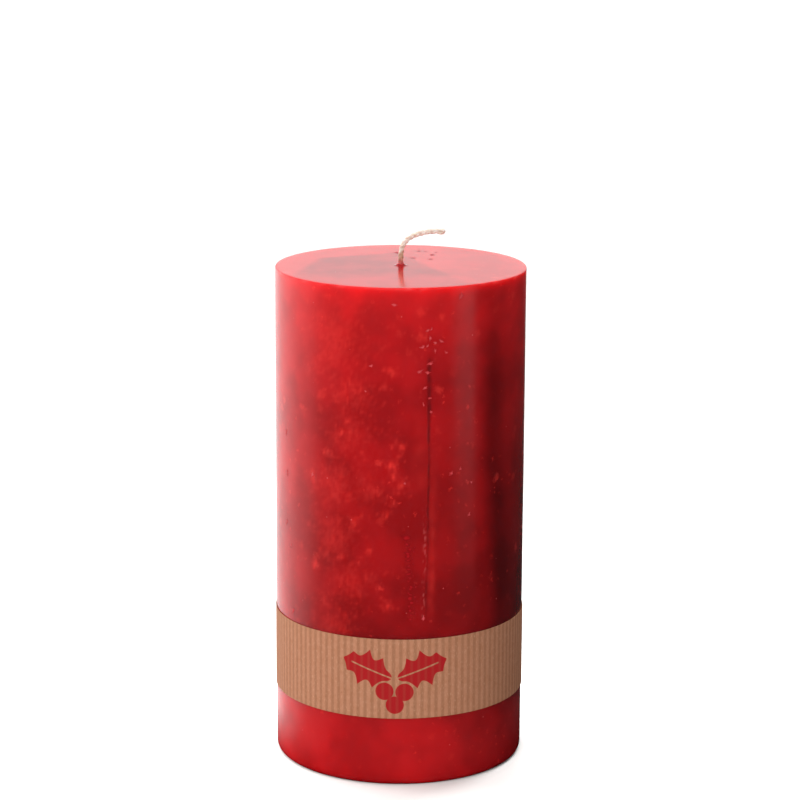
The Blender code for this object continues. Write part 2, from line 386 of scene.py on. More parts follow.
def lightClots(tree, inMm, glow):
    # feathery patches in two sizes, 8 and 3 mm, beside the listed ones: cells that are pushed about,
    # so that no patch is round, and only some of them light
    push = addNode(tree, "ShaderNodeTexNoise", {
        "Vector": inMm, "Scale": 0.5, "Detail": 3.5, "Roughness": 0.7,
    }).node.outputs["Color"]
    push = addNode(tree, "ShaderNodeVectorMath", {0: push, 1: (0.5, 0.5, 0.5)}, operation="SUBTRACT")
    push = addNode(tree, "ShaderNodeVectorMath", {0: push, "Scale": 4.5}, operation="SCALE")
    pushed = addNode(tree, "ShaderNodeVectorMath", {0: inMm, 1: push}, operation="ADD")
    crowd = addNode(tree, "ShaderNodeTexNoise", {"Vector": inMm, "Scale": 0.028, "Detail": 1.0})
    crowd = addNode(tree, "ShaderNodeMapRange", {"Value": crowd, "From Min": 0.40, "From Max": 0.62})
    light = glow
    for perMm, reach, share, most in ((0.13, 0.36, 0.5, 0.7), (0.3, 0.34, 0.4, 0.75)):
        cells = addNode(tree, "ShaderNodeTexVoronoi", {
            "Vector": pushed, "Scale": perMm,
        }, feature="F1").node.outputs
        chance = addNode(tree, "ShaderNodeSeparateColor", {0: cells["Color"]})
        chosen = addNode(tree, "ShaderNodeMapRange", {
            "Value": chance, "From Min": share, "From Max": 1.0, "To Min": 0.0, "To Max": most,
        })
        near = addNode(tree, "ShaderNodeMapRange", {
            "Value": cells["Distance"], "From Min": reach, "From Max": 0.02,
        }, interpolation_type="SMOOTHERSTEP")
        patch = addNode(tree, "ShaderNodeMath", {0: chosen, 1: near}, operation="MULTIPLY")
        patch = addNode(tree, "ShaderNodeMath", {0: patch, 1: crowd}, operation="MULTIPLY")
        light = addNode(tree, "ShaderNodeMath", {0: light, 1: patch}, operation="MAXIMUM")
    return light


def cutTopPaintedLight(tree, inMm, axes, onTop, color, w):
    # painted light: the cut top is painted a lighter red, more on the left, apart from a duller patch of
    # painted shadow with straight edges
    patch = onTop
    for edgeX, edgeY, outX, outY in w["paintedShadowEdges"]:
        out = addNode(tree, "ShaderNodeVectorMath", {0: inMm, 1: (edgeX, edgeY, 0)}, operation="SUBTRACT")
        out = addNode(tree, "ShaderNodeVectorMath", {0: out, 1: (outX, outY, 0)}, operation="DOT_PRODUCT")
        inside = addNode(tree, "ShaderNodeMapRange", {"Value": out, "From Min": 1.5, "From Max": -1.5})
        patch = addNode(tree, "ShaderNodeMath", {0: patch, 1: inside}, operation="MULTIPLY")
    nearFront = addNode(tree, "ShaderNodeMapRange", {
        "Value": axes["Y"], "From Min": -31.0, "From Max": -14.0, "To Min": 0.35, "To Max": 1.0,
    })
    patch = addNode(tree, "ShaderNodeMath", {0: patch, 1: nearFront}, operation="MULTIPLY")
    # painted light on the top outside the patch
    paintedTopLight = addNode(tree, "ShaderNodeMath", {0: onTop, 1: patch}, operation="SUBTRACT")
    moreLeft = addNode(tree, "ShaderNodeMapRange", {
        "Value": axes["X"], "From Min": 25.0, "From Max": -15.0, "To Min": 0.32, "To Max": 0.76,
    })
    paintedTopLight = addNode(tree, "ShaderNodeMath", {0: paintedTopLight, 1: moreLeft}, operation="MULTIPLY")
    color = addNode(tree, "ShaderNodeMix", {
        "Factor": paintedTopLight, "A": color, "B": hexColor("#bd2024"),
    }, data_type="RGBA")
    # painted shadow: the patch is painted a duller, darker red
    paintedTopShadow = addNode(tree, "ShaderNodeMath", {0: patch, 1: 0.4}, operation="MULTIPLY")
    return addNode(tree, "ShaderNodeMix", {
        "Factor": paintedTopShadow, "A": color, "B": hexColor("#74161a"),
    }, data_type="RGBA")


def airBubbles(tree, inMm):
    # tiny bubbles, 0.4 mm across: 1 inside one and 0 round it
    bubbles = addNode(tree, "ShaderNodeTexVoronoi", {
        "Vector": inMm, "Scale": 0.22,
    }, feature="F1").node.outputs
    some = addNode(tree, "ShaderNodeSeparateColor", {0: bubbles["Color"]}).node.outputs["Green"]
    some = addNode(tree, "ShaderNodeMath", {0: some, 1: 0.80}, operation="GREATER_THAN")
    bubble = addNode(tree, "ShaderNodeMapRange", {
        "Value": bubbles["Distance"], "From Min": 0.085, "From Max": 0.035,
    })
    return addNode(tree, "ShaderNodeMath", {0: bubble, 1: some}, operation="MULTIPLY")


def makeWaxMaterial(w):
    # dyed paraffin, poured in a mould: deep translucent red, clouded by light feathery patches where it
    # crystallised, with a satin side where it left the mould and a smooth, glossier top where it was cut
    material, tree, shader = newMaterial("pouredParaffin")
    place = addNode(tree, "ShaderNodeTexCoord").node.outputs["Object"]
    inMm = addNode(tree, "ShaderNodeVectorMath", {"Vector": place, "Scale": 1000}, operation="SCALE")
    axes = addNode(tree, "ShaderNodeSeparateXYZ", {0: inMm}).node.outputs
    onTop = addNode(tree, "ShaderNodeMapRange", {
        "Value": axes["Z"], "From Min": pillarTop / mm - 0.1, "From Max": pillarTop / mm - 0.02,
    })
    marks = addNode(tree, "ShaderNodeSeparateColor", {
        0: addNode(tree, "ShaderNodeAttribute", attribute_name="marks"),
    }).node.outputs
    groove, glow, frost = marks["Red"], marks["Green"], marks["Blue"]

    # painted shade: the wax is painted near black in a stripe down the right
    color = addNode(tree, "ShaderNodeMix", {
        "Factor": paintedShadeStripe(tree, axes, w), "A": waxRedsWithPaintedLight(tree, axes, w), "B": hexColor("#3f0406"),
    }, data_type="RGBA")
    # wide clouds 20 to 30 mm across
    clouds = addNode(tree, "ShaderNodeTexNoise", {
        "Vector": inMm, "Scale": 0.045, "Detail": 2.5, "Roughness": 0.6,
    })
    clouds = addNode(tree, "ShaderNodeMapRange", {
        "Value": clouds, "From Min": 0.36, "From Max": 0.64, "To Min": 0.84, "To Max": 1.14,
    }, interpolation_type="SMOOTHSTEP")
    color = addNode(tree, "ShaderNodeVectorMath", {0: color, "Scale": clouds}, operation="SCALE")
    color = addNode(tree, "ShaderNodeMix", {
        "Factor": lightClots(tree, inMm, glow), "A": color, "B": hexColor("#cf2f2a"),
    }, data_type="RGBA")
    color = cutTopPaintedLight(tree, inMm, axes, onTop, color, w)

    # air bubbles and frosted rubs are whitish, and the seam's groove gets painted shade
    bubble = airBubbles(tree, inMm)
    pale = addNode(tree, "ShaderNodeMath", {0: bubble, 1: 0.5}, operation="MULTIPLY")
    pale = addNode(tree, "ShaderNodeMath", {0: pale, 1: frost}, operation="MAXIMUM")
    color = addNode(tree, "ShaderNodeMix", {
        "Factor": pale, "A": color, "B": hexColor("#c8605f"),
    }, data_type="RGBA")
    # painted shade in the seam's groove
    shade = addNode(tree, "ShaderNodeMath", {0: groove, 1: 0.65}, operation="MULTIPLY")
    color = addNode(tree, "ShaderNodeMix", {
        "Factor": shade, "A": color, "B": hexColor("#4a0508"),
    }, data_type="RGBA")
    tree.links.new(color, shader.inputs["Base Color"])
    shader.inputs["Subsurface Weight"].default_value = 1.0
    shader.inputs["Subsurface Radius"].default_value = (1.0, 0.08, 0.08)
    shader.inputs["Subsurface Scale"].default_value = 0.014
    shader.inputs["IOR"].default_value = 1.44

    # gloss: satin at the side, glossier on the cut top, which has fine wiping lines along X
    satin = addNode(tree, "ShaderNodeTexNoise", {"Vector": inMm, "Scale": 0.12, "Detail": 3.0})
    satin = addNode(tree, "ShaderNodeMapRange", {
        "Value": satin, "From Min": 0.3, "From Max": 0.7, "To Min": 0.15, "To Max": 0.23,
    })
    streaks = addNode(tree, "ShaderNodeVectorMath", {0: inMm, 1: (0.05, 1.1, 0.05)}, operation="MULTIPLY")
    streaks = addNode(tree, "ShaderNodeTexNoise", {"Vector": streaks, "Scale": 1.0, "Detail": 3.0})
    wiped = addNode(tree, "ShaderNodeMapRange", {
        "Value": streaks, "From Min": 0.4, "From Max": 0.75, "To Min": 0.1, "To Max": 0.24,
    })
    rough = addNode(tree, "ShaderNodeMix", {"Factor": onTop, "A": satin, "B": wiped}, data_type="FLOAT")
    tree.links.new(rough, shader.inputs["Roughness"])

    # the mould's fine grain, drawn at 0.8 mm so that it shows, and the bubbles' pits
    grain = addNode(tree, "ShaderNodeTexNoise", {"Vector": inMm, "Scale": 1.2, "Detail": 2.0})
    relief = addNode(tree, "ShaderNodeMath", {0: grain, 1: 0.018}, operation="MULTIPLY")
    pits = addNode(tree, "ShaderNodeMath", {0: bubble, 1: -0.05}, operation="MULTIPLY")
    relief = addNode(tree, "ShaderNodeMath", {0: relief, 1: pits}, operation="ADD")
    bump = addNode(tree, "ShaderNodeBump", {"Height": relief, "Distance": 0.001, "Strength": 0.5})
    tree.links.new(bump, shader.inputs["Normal"])
    return material


print("wax")
waxBody = makeWax(wax)
dress(waxBody, makeWaxMaterial(wax))
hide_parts("wax_pillar")
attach(waxBody, "candle")


flakes = {
    "edge": -0.045 * mm,          # a flake's edge lies this far off the pillar's nominal side, in the wax
    "proud": 0.07 * mm,           # and its middle stands this far off its edge
    "sunk": 0.2 * mm,
    "topLift": 0.02 * mm,         # the cut top is flat, so its specks sit this much higher
    "seed": 11,
    # pale nicks: round the pillar, height, length, width (all mm) and tilt in degrees
    "nicks": (
        (24, 196, 2.4, 1.0, 80), (-2.5, 193.5, 2.2, 0.6, -12), (10.5, 183.5, 1.8, 0.7, 30),
        (12, 184, 1.4, 0.5, 60), (11.5, 180.5, 1.6, 0.6, 95), (13.5, 178.5, 1.2, 0.6, 0),
        (16, 179, 1.9, 0.6, -25), (8.5, 177, 2.1, 0.7, 10), (10.5, 177.5, 1.2, 0.5, 50),
        (13.5, 175.5, 1.8, 0.6, 100), (18, 174.5, 1.4, 0.5, -30), (11.5, 170.5, 2.0, 0.7, 20),
        (7.5, 167.5, 2.0, 0.7, 25), (10.5, 167, 2.0, 0.6, -8), (-11.5, 169.5, 2.2, 0.7, 10),
        (9.5, 161, 1.8, 0.6, 35), (11.5, 157, 1.2, 0.4, 0), (9, 154.5, 1.6, 0.4, 100),
        (12, 151.5, 1.2, 0.5, 10), (-13.5, 159.5, 0.9, 0.4, -30), (-56, 137, 2.0, 0.8, 95),
        (-37.5, 123.5, 1.4, 0.7, 70), (-55, 120.5, 2.0, 0.9, 90), (24.5, 128, 1.2, 0.6, 60),
        (20.5, 126.5, 1.6, 0.8, 40), (29.5, 122, 1.0, 0.6, 0), (2, 123.5, 0.8, 0.5, 60),
        (-55.5, 100.5, 1.6, 0.8, 90), (-52, 91.5, 1.2, 0.7, 70), (-50.5, 65, 2.0, 0.9, 80),
        (17.5, 80.5, 0.9, 0.5, 0), (12.5, 97.5, 0.8, 0.5, 0), (28.5, 109, 1.4, 0.6, 40),
        (9.5, 69, 2.4, 0.7, 75),
    ),
    # dark specks of dye in the cut top: x, y, length, width (all mm) and tilt
    "specks": (
        (-1.5, 29.5, 2.4, 1.6, 10), (7.5, 34, 1.6, 1.4, 0), (10, 33, 1.4, 1.0, 30), (12.5, 25, 2.2, 1.6, -20),
        (5, 17.5, 1.8, 1.2, 15), (12, 15, 2.0, 1.0, 0), (14.5, 31, 1.2, 1.0, 0),
    ),
    "rippleTop": 101,             # mm; small drips lie one below another beside the seam
    "rippleFoot": 69,
    "ripples": 19,
}


def makeFlakes(name, marks, onSide, f):
    # one flat, tapered flake is shaped, then copied to each mark
    startFresh()
    bpy.ops.mesh.primitive_ico_sphere_add(subdivisions=3, radius=1)
    first = bpy.context.object
    shape = readPoints(first)
    # 1 in the flake's middle and 0 at its edge, for its material
    heart = np.clip(1 - np.hypot(shape[:, 0], shape[:, 1]), 0, 1)
    heart[shape[:, 2] < 0] = 0
    first.data.attributes.new("heart", "FLOAT", "POINT").data.foreach_set("value", heart)
    shape[:, 1] *= 0.8 - 0.3 * shape[:, 0] + 0.25 * np.sin(3 * shape[:, 0] + 1)
    shape[:, 1] += 0.5 * shape[:, 0] ** 2
    rise = shape[:, 2]
    shape[:, 2] = f["edge"] + np.where(rise > 0, rise**2 * f["proud"], rise * f["sunk"])
    copies = []
    for around, up, length, width, tilt in marks:
        flake = first.copy()
        flake.data = first.data.copy()
        bpy.context.scene.collection.objects.link(flake)
        c, s = math.cos(math.radians(tilt)), math.sin(math.radians(tilt))
        ragged = 1 + 0.8 * unevenness(shape * (1, 1, 0) + (around, up, 0), 0.6)
        u, v = shape[:, 0] * length * mm * 0.66 * ragged, shape[:, 1] * width * mm * ragged
        right, ahead = around * mm + u * c - v * s, up * mm + u * s + v * c
        if onSide:
            angle, radius = right / pillarRadius, pillarRadius + shape[:, 2]
            writePoints(flake, np.stack([radius * np.sin(angle), -radius * np.cos(angle), ahead], axis=1))
        else:
            writePoints(flake, np.stack([right, ahead, pillarTop + f["topLift"] + shape[:, 2]], axis=1))
        copies.append(flake)
    bpy.data.objects.remove(first)
    startFresh(*copies)
    bpy.ops.object.join()
    copies[0].name = name
    bpy.ops.object.mode_set(mode="EDIT")
    bpy.ops.mesh.select_all(action="SELECT")
    bpy.ops.mesh.normals_make_consistent(inside=False)
    bpy.ops.object.mode_set(mode="OBJECT")
    shadeSmooth(copies[0], 60)
    return copies[0]


def rippleMarks(f):
    rng = np.random.default_rng(f["seed"])
    heights = np.linspace(f["rippleTop"] - 2, f["rippleFoot"], f["ripples"])
    marks = [(2.5, f["rippleTop"] + 0.5, 3.0, 1.1, -8)]
    for n, up in enumerate(heights):
        middle = 3.4 + 1.2 * n / f["ripples"] + rng.uniform(-0.6, 0.6)
        up += rng.uniform(-0.5, 0.5)
        marks.append((middle, up, rng.uniform(1.3, 2.4), rng.uniform(0.7, 1.0), rng.uniform(-30, 30)))
        if n % 3:
            beside = middle + rng.uniform(1.4, 2.4)
            marks.append((beside, up + 0.8, rng.uniform(0.6, 1.0), 0.6, rng.uniform(0, 180)))
    return marks


def makeMarkMaterial(name, one, other, rough, gloss):
    # paraffin that was bruised, dripped or undyed: its own shade in the middle of each mark, fading in blots
    # of 1 mm into the red round it
    material, tree, shader = newMaterial(name)
    place = addNode(tree, "ShaderNodeTexCoord").node.outputs["Object"]
    heart = addNode(tree, "ShaderNodeAttribute", attribute_name="heart").node.outputs["Fac"]
    blots = addNode(tree, "ShaderNodeTexNoise", {"Vector": place, "Scale": 700.0, "Detail": 2.0})
    blots = addNode(tree, "ShaderNodeMapRange", {
        "Value": blots, "From Min": 0.3, "From Max": 0.7, "To Min": -0.3, "To Max": 0.3,
    })
    heart = addNode(tree, "ShaderNodeMath", {0: heart, 1: blots}, operation="ADD")
    heart = addNode(tree, "ShaderNodeMapRange", {
        "Value": heart, "From Min": 0.15, "From Max": 0.9,
    }, interpolation_type="SMOOTHSTEP")
    color = addNode(tree, "ShaderNodeMix", {
        "Factor": heart, "A": hexColor(other), "B": hexColor(one),
    }, data_type="RGBA")
    tree.links.new(color, shader.inputs["Base Color"])
    shader.inputs["Roughness"].default_value = rough
    shader.inputs["IOR"].default_value = 1.44
    shader.inputs["Specular IOR Level"].default_value = gloss
    return material


print("flakes")
for name, marks, onSide, one, other, rough, gloss in (
    ("paleNicks", flakes["nicks"], True, "#b83e42", "#9c181c", 0.4, 0.2),
    ("seamRipples", rippleMarks(flakes), True, "#94151a", "#7e0e12", 0.6, 0.0),
    ("dyeSpecks", flakes["specks"], False, "#70081a", "#8e1424", 0.9, 0.2),
):
    piece = makeFlakes(name, marks, onSide, flakes)
    dress(piece, makeMarkMaterial(name + "Paraffin", one, other, rough, gloss))
    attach(piece, "candle")


wick = {
    "route": (                    # the free end from the bend point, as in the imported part
        (0.0, 0.0, -0.0012),
        (0.0, 0.0, 0.0),
        (0.0, 0.0, 0.0028),
        (0.0003, 0.0, 0.0055),
        (0.0010, -0.0001, 0.0075),
        (0.0023, -0.0003, 0.0092),
        (0.0043, -0.0005, 0.0107),
        (0.0064, -0.0008, 0.0116),
        (0.0086, -0.0010, 0.0123),
        (0.0109, -0.0012, 0.0128),
        (0.0133, -0.0014, 0.0130),
        (0.0151, -0.0015, 0.0129),
        (0.0172, -0.0016, 0.0124),
    ),
    "strands": 3,
    "yarns": 3,                   # in each strand
    "plaitPitch": 7.0 * mm,
    "sway": 0.52 * mm,            # a strand's way from side to side
    "weave": 0.24 * mm,           # and from front to back
    "yarnCircle": 0.21 * mm,
    "yarnRadius": 0.4 * mm,
    "yarnPitch": 4.2 * mm,
    "pointGap": 0.22 * mm,
    "frayLength": 2.4 * mm,
    "fibres": 46,
    "fibreThickness": 0.035 * mm,
    "fibresAtTip": 0.6,           # the share of them at the cut end
    "seed": 7,
}


def smoothRoute(points, gap):
    # a Catmull-Rom curve through the points, then evenly spaced along its length
    points = [Vector(p) for p in points]
    ends = [2 * points[0] - points[1], *points, 2 * points[-1] - points[-2]]
    dense = []
    for a, b, c, d in zip(ends, ends[1:], ends[2:], ends[3:]):
        square, cube = 2 * a - 5 * b + 4 * c - d, 3 * b - a - 3 * c + d
        for t in np.linspace(0, 1, 24, endpoint=False):
            dense.append(0.5 * (2 * b + (c - a) * t + square * t**2 + cube * t**3))
    dense = np.array([*dense, points[-1]])
    reach = np.concatenate([[0], np.cumsum(np.linalg.norm(np.diff(dense, axis=0), axis=1))])
    stations = np.linspace(0, reach[-1], round(reach[-1] / gap) + 1)
    return stations, np.stack([np.interp(stations, reach, dense[:, i]) for i in range(3)], axis=1)


def tubeCurve(name, lines, depth, resolution):
    # one curve object with a spline for each line of (point, thickness)
    curve = bpy.data.curves.new(name, "CURVE")
    curve.dimensions = "3D"
    curve.bevel_depth = depth
    curve.bevel_resolution = resolution
    curve.use_fill_caps = True
    for line in lines:
        spline = curve.splines.new("POLY")
        spline.points.add(len(line) - 1)
        for point, (place, thickness) in zip(spline.points, line):
            point.co = (*place, 1)
            point.radius = thickness
    obj = bpy.data.objects.new(name, curve)
    bpy.context.scene.collection.objects.link(obj)
    startFresh(obj)
    bpy.ops.object.convert(target="MESH")
    bpy.ops.object.mode_set(mode="EDIT")
    bpy.ops.mesh.select_all(action="SELECT")
    bpy.ops.mesh.remove_doubles(threshold=1e-6)
    bpy.ops.mesh.normals_make_consistent(inside=False)
    bpy.ops.object.mode_set(mode="OBJECT")
    return obj


def makeWick(w):
    stations, middle = smoothRoute(w["route"], w["pointGap"])
    middle = middle + np.array(bendPoint)
    total = stations[-1]
    along = np.gradient(middle, stations, axis=0)
    along /= np.linalg.norm(along, axis=1)[:, None]
    depthWay = np.cross(along, (0, 1, 0))                 # across the plait, in the plane that it bends in
    depthWay /= np.linalg.norm(depthWay, axis=1)[:, None]
    sideWay = np.cross(along, depthWay)
    fray = rampUp(stations, total - w["frayLength"], total)
    snug = 1 - 0.25 * (1 - rampUp(stations, 0, 1.2 * mm))  # held tight where the wax grips it
    lines = []
    for strand in range(w["strands"]):
        phase = 2 * math.pi * (stations / w["plaitPitch"] + strand / w["strands"])
        sway = w["sway"] * np.cos(phase) * snug * (1 + 1.3 * fray)
        weave = w["weave"] * np.sin(2 * phase) * snug * (1 + 0.9 * fray)
        for yarn in range(w["yarns"]):
            twist = 2 * math.pi * (stations / w["yarnPitch"] + yarn / w["yarns"])
            circle = w["yarnCircle"] * (1 + 0.7 * fray)
            a = sway + circle * np.cos(twist)
            b = weave + circle * np.sin(twist)
            line = middle + a[:, None] * depthWay + b[:, None] * sideWay
            # the cut is slanted: the yarns on the upper side reach furthest
            short = max(0.0, 0.6 - a[-1] / w["sway"]) * 2.0 + (strand * 3 + yarn) % 4 * 0.4
            last = len(line) - 1 - round(short)
            thick = 1 + 0.06 * np.sin(stations / (0.7 * mm) + yarn * 2 + strand)
            lines.append([(line[i], thick[i]) for i in range(last + 1)])
    plait = tubeCurve("wickPlait", lines, w["yarnRadius"], 1)

    # loose cotton fibres at the cut and a few along the plait
    rng = np.random.default_rng(w["seed"])
    hairs = []
    for n in range(w["fibres"]):
        atTip = n < w["fibres"] * w["fibresAtTip"]
        index = len(middle) - 2 - rng.integers(0, 6) if atTip else rng.integers(14, len(middle) - 10)
        way = along[index] * (1.0 if atTip else 0.5) + depthWay[index] * rng.normal(0, 0.5)
        way = way + sideWay[index] * rng.normal(0, 0.5)
        way /= np.linalg.norm(way)
        spread = 0.75 * mm if atTip else 0.6 * mm
        start = middle[index] + depthWay[index] * rng.uniform(-1, 1) * spread
        start = start + sideWay[index] * rng.uniform(-1, 1) * spread * 0.7
        length = rng.uniform(0.5, 1.1) * mm if atTip else rng.uniform(0.5, 0.9) * mm
        curl = np.cross(way, rng.normal(0, 1, 3))
        curl /= np.linalg.norm(curl)
        hairs.append([
            (start + way * length * t + curl * length * 0.25 * t * t, 1 - 0.5 * t)
            for t in np.linspace(0, 1, 4)
        ])
    fluff = tubeCurve("wickFluff", hairs, w["fibreThickness"], 0)
    startFresh(plait, fluff)
    bpy.ops.object.join()
    shadeSmooth(plait, 60)
    return plait


def makeCottonMaterial():
    # plaited cotton dipped in wax: cream and matt, tan in the hollow of the bend, from thick wax and painted
    # shade, and red at its root, where the dyed wax is drawn up
    material, tree, shader = newMaterial("waxedCotton")
    place = addNode(tree, "ShaderNodeTexCoord").node.outputs["Object"]
    inMm = addNode(tree, "ShaderNodeVectorMath", {"Vector": place, "Scale": 1000}, operation="SCALE")
    height = addNode(tree, "ShaderNodeSeparateXYZ", {0: place}).node.outputs["Z"]
    patches = addNode(tree, "ShaderNodeTexNoise", {"Vector": inMm, "Scale": 0.7, "Detail": 3.0})
    patches = addNode(tree, "ShaderNodeMapRange", {"Value": patches, "From Min": 0.35, "From Max": 0.65})
    color = addNode(tree, "ShaderNodeMix", {
        "Factor": patches, "A": hexColor("#dfd5cb"), "B": hexColor("#cbb8a6"),
    }, data_type="RGBA")
    # the hollow of the bend, under the plait, is tan: with wax, and with painted shade
    across = addNode(tree, "ShaderNodeSeparateXYZ", {0: inMm}).node.outputs["X"]
    lean = addNode(tree, "ShaderNodeMath", {
        0: height, 1: 1000.0, 2: -bendPoint.z / mm - 4.6,
    }, operation="MULTIPLY_ADD")
    tanWaxAndShade = addNode(tree, "ShaderNodeMath", {0: across, 1: lean}, operation="SUBTRACT")
    tanWaxAndShade = addNode(tree, "ShaderNodeMapRange", {"Value": tanWaxAndShade, "From Min": -1.2, "From Max": 1.2})
    reach = addNode(tree, "ShaderNodeMapRange", {"Value": across, "From Min": 6.0, "From Max": 2.5})
    tanWaxAndShade = addNode(tree, "ShaderNodeMath", {0: tanWaxAndShade, 1: reach}, operation="MULTIPLY")
    tanWaxAndShade = addNode(tree, "ShaderNodeMath", {0: tanWaxAndShade, 1: 0.75}, operation="MULTIPLY")
    color = addNode(tree, "ShaderNodeMix", {
        "Factor": tanWaxAndShade, "A": color, "B": hexColor("#a87a58"),
    }, data_type="RGBA")
    drawn = addNode(tree, "ShaderNodeMapRange", {
        "Value": height, "From Min": pillarTop + 0.8 * mm, "From Max": pillarTop + 4.0 * mm,
        "To Min": 0.9, "To Max": 0.0,
    }, interpolation_type="SMOOTHSTEP")
    color = addNode(tree, "ShaderNodeMix", {
        "Factor": drawn, "A": color, "B": hexColor("#b8484c"),
    }, data_type="RGBA")
    tree.links.new(color, shader.inputs["Base Color"])
    shader.inputs["Roughness"].default_value = 0.62
    shader.inputs["IOR"].default_value = 1.45
    shader.inputs["Sheen Weight"].default_value = 0.05
    shader.inputs["Subsurface Weight"].default_value = 0.3
    shader.inputs["Subsurface Radius"].default_value = (1.0, 0.6, 0.4)
    shader.inputs["Subsurface Scale"].default_value = 0.0006
    hair = addNode(tree, "ShaderNodeTexNoise", {"Vector": inMm, "Scale": 9.0, "Detail": 2.0})
    bump = addNode(tree, "ShaderNodeBump", {"Height": hair, "Distance": 0.0001, "Strength": 0.5})
    tree.links.new(bump, shader.inputs["Normal"])
    return material


print("wick")
waxedCotton = makeCottonMaterial()
wickPlait = makeWick(wick)
dress(wickPlait, waxedCotton)
dress(frame["nodes"]["wick_core"], waxedCotton)
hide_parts("wick_tip")
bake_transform(wickPlait)


foot = {
    "steps": 96,
    "radius": 7.5 * mm,
    "sheet": 0.3 * mm,
    "under": 0.5 * mm,            # its underside, above the table
    "neckRadius": 1.55 * mm,
    "boreRadius": 1.25 * mm,
    "neckTop": 6.5 * mm,
    "bead": 0.14 * mm,            # the pressed rings stand this high
    "beadWidth": 0.32 * mm,
    "rings": (3.6 * mm, 5.9 * mm),
    "crimp": 0.22 * mm,
    "crimpHeight": 4.6 * mm,
}


def pressedLift(radius, f):
    # how far the two pressed rings lift the sheet at this radius
    return f["bead"] * sum(math.exp(-(((radius - ring) / f["beadWidth"]) ** 2)) for ring in f["rings"])


def makeFoot(f):
    # out along the underside, round the rim, back over the top and up the neck
    radii = np.linspace(2.3 * mm, f["radius"] - 0.12 * mm, 30)
    under = [(f["boreRadius"], f["under"] + 0.45 * mm), (1.6 * mm, f["under"] + 0.1 * mm)]
    under += [(1.9 * mm, f["under"])]
    under += [(r, f["under"] + pressedLift(r, f)) for r in radii]
    rim = [(f["radius"], f["under"] + 0.5 * f["sheet"])]
    over = [(r, f["under"] + f["sheet"] + pressedLift(r, f)) for r in radii[::-1]]
    neck = [(1.75 * mm, f["under"] + 0.45 * mm), (f["neckRadius"], f["under"] + 0.8 * mm)]
    neck += [(f["neckRadius"], z) for z in np.linspace(f["under"] + 1.4 * mm, f["neckTop"], 14)]
    inside = [(f["boreRadius"], z) for z in np.linspace(f["neckTop"], f["under"] + 0.45 * mm, 16)]
    disc = turnProfile("pressedFoot", [*under, *rim, *over, *neck, *inside], f["steps"])
    points = readPoints(disc)
    radius = np.hypot(points[:, 0], points[:, 1])
    angle = np.arctan2(points[:, 1], points[:, 0])
    onNeck = hump(points[:, 2], f["crimpHeight"], 0.9 * mm) * (radius < 1.7 * mm)
    squeeze = 1 - f["crimp"] / f["neckRadius"] * onNeck * (0.5 + 0.5 * np.cos(4 * angle))
    points[:, :2] *= squeeze[:, None]
    writePoints(disc, points)
    shadeSmooth(disc, 35)
    return disc


def makeTinMaterial():
    # tinplate, pressed cold: bright grey with fine rolling lines along X and a few dull spots
    material, tree, shader = newMaterial("pressedTinplate")
    place = addNode(tree, "ShaderNodeTexCoord").node.outputs["Object"]
    lines = addNode(tree, "ShaderNodeVectorMath", {0: place, 1: (300, 9000, 300)}, operation="MULTIPLY")
    rolled = addNode(tree, "ShaderNodeTexNoise", {"Vector": lines, "Scale": 1.0, "Detail": 2.0})
    dull = addNode(tree, "ShaderNodeTexNoise", {"Vector": place, "Scale": 700.0, "Detail": 2.0})
    color = addNode(tree, "ShaderNodeMix", {
        "Factor": dull, "A": hexColor("#c9c8c4"), "B": hexColor("#a3a29d"),
    }, data_type="RGBA")
    tree.links.new(color, shader.inputs["Base Color"])
    shader.inputs["Metallic"].default_value = 1.0
    rough = addNode(tree, "ShaderNodeMapRange", {"Value": rolled, "To Min": 0.24, "To Max": 0.42})
    tree.links.new(rough, shader.inputs["Roughness"])
    bump = addNode(tree, "ShaderNodeBump", {"Height": rolled, "Distance": 0.00003, "Strength": 0.4})
    tree.links.new(bump, shader.inputs["Normal"])
    return material


print("foot")
pressedFoot = makeFoot(foot)
dress(pressedFoot, makeTinMaterial())
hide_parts("wick_foot")
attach(pressedFoot, "candle")


band = {
    "innerGap": 0.1 * mm,         # between the wax and the paper, which is drawn closer than it is packed
    "paper": 0.2 * mm,
    "lap": 16 * mm,
    "lapRise": 10 * mm,
    "lapStep": 0.7 * mm,          # clear of the glue strip
    "ribPitch": 2.83 * mm,
    "ribHeight": 0.03 * mm,
    "perRib": 8,
    "rows": 9,
    "cutWander": 0.12 * mm,       # the knife's wander along the long edges
    "printMiddle": (-1.7, 44.2),  # mm round the band from the front, and mm up
    "leafLength": 21.0,           # mm, as are the next ones
    "leafWidth": 16.0,
    "leafTurn": 20,               # degrees that each leaf rises
    "leafStart": 1.2,
    "berryRadius": 3.6,
    "berries": ((-4.0, -5.0), (3.9, -5.3), (0.1, -10.6)),
}


